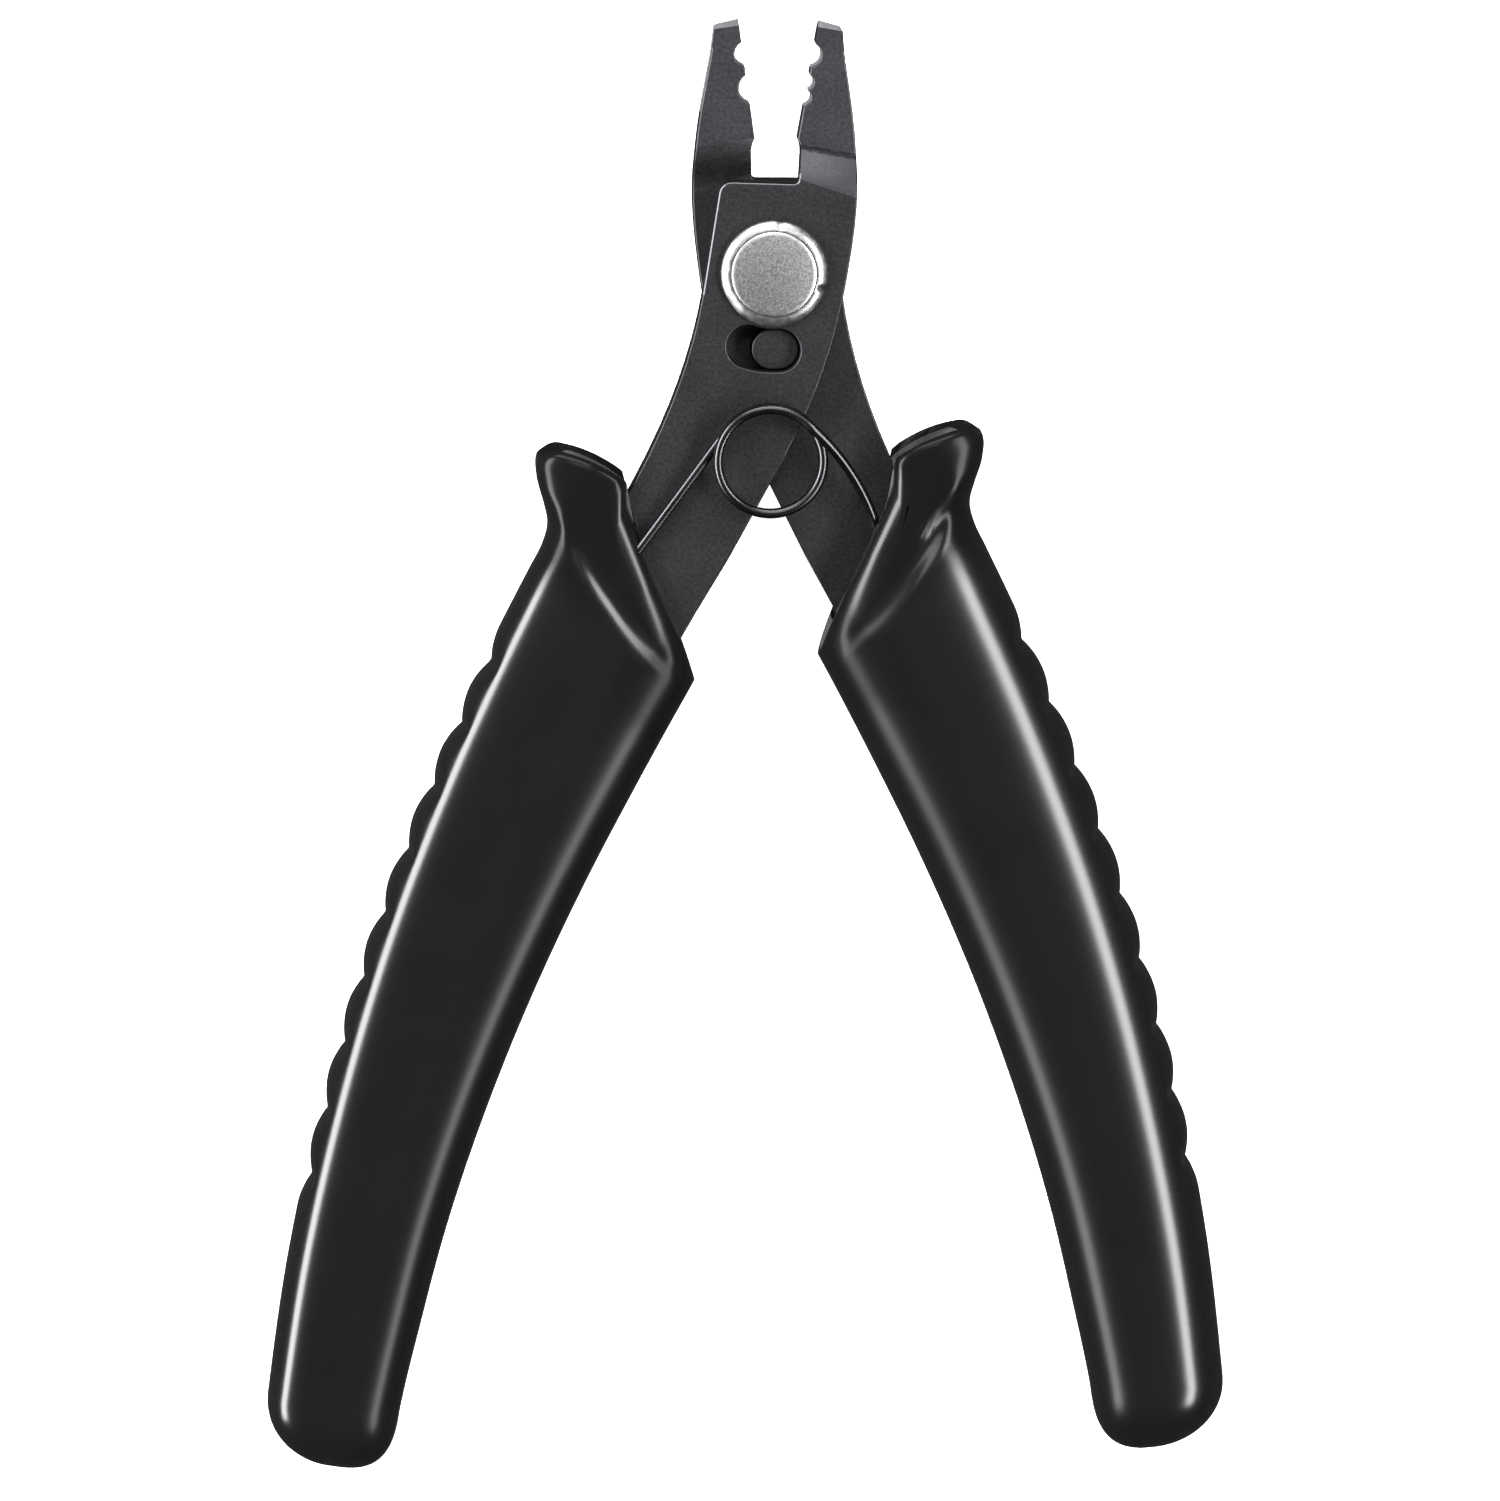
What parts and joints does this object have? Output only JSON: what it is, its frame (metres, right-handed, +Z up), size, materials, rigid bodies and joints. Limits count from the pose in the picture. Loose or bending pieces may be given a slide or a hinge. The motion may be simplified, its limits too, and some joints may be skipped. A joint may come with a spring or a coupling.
{
  "type": "crimping pliers",
  "caption": "Slim jewellery pliers with flat notched jaws, a round pivot, an open wire spring and moulded grips, for crimping beads.",
  "frame": {"origin": "the pivot's axis where it meets the surface that the pliers lie on", "axes": "+Z up along the pivot's axis, out of the front face; +Y toward the jaw tips; +X to the right"},
  "size_m": [0.0864, 0.1312, 0.012],
  "materials": {
    "lever_steel": "blackened steel, satin",
    "pin_steel": "satin ground steel",
    "collar_steel": "bright polished steel",
    "spring_wire": "dark drawn spring wire",
    "grip_plastic": "black gloss moulded PVC"
  },
  "bodies": {
    "front": {"front_lever": "lever_steel", "pivot_pin": "pin_steel", "front_collar": "collar_steel", "rear_collar": "collar_steel", "return_spring": "spring_wire", "left_grip": "grip_plastic"},
    "rear": {"rear_lever": "lever_steel", "right_grip": "grip_plastic"}
  },
  "joints": [
    {"name": "lever_pivot", "type": "hinge", "parent": "front", "child": "rear", "pos_m": [0, 0, 0.006], "axis": [0, 0, -1], "range_deg": [0, 18], "stiffness_Nm_per_rad": 0.9, "springref_deg": -20.05, "deforming": ["return_spring"]}
  ]
}
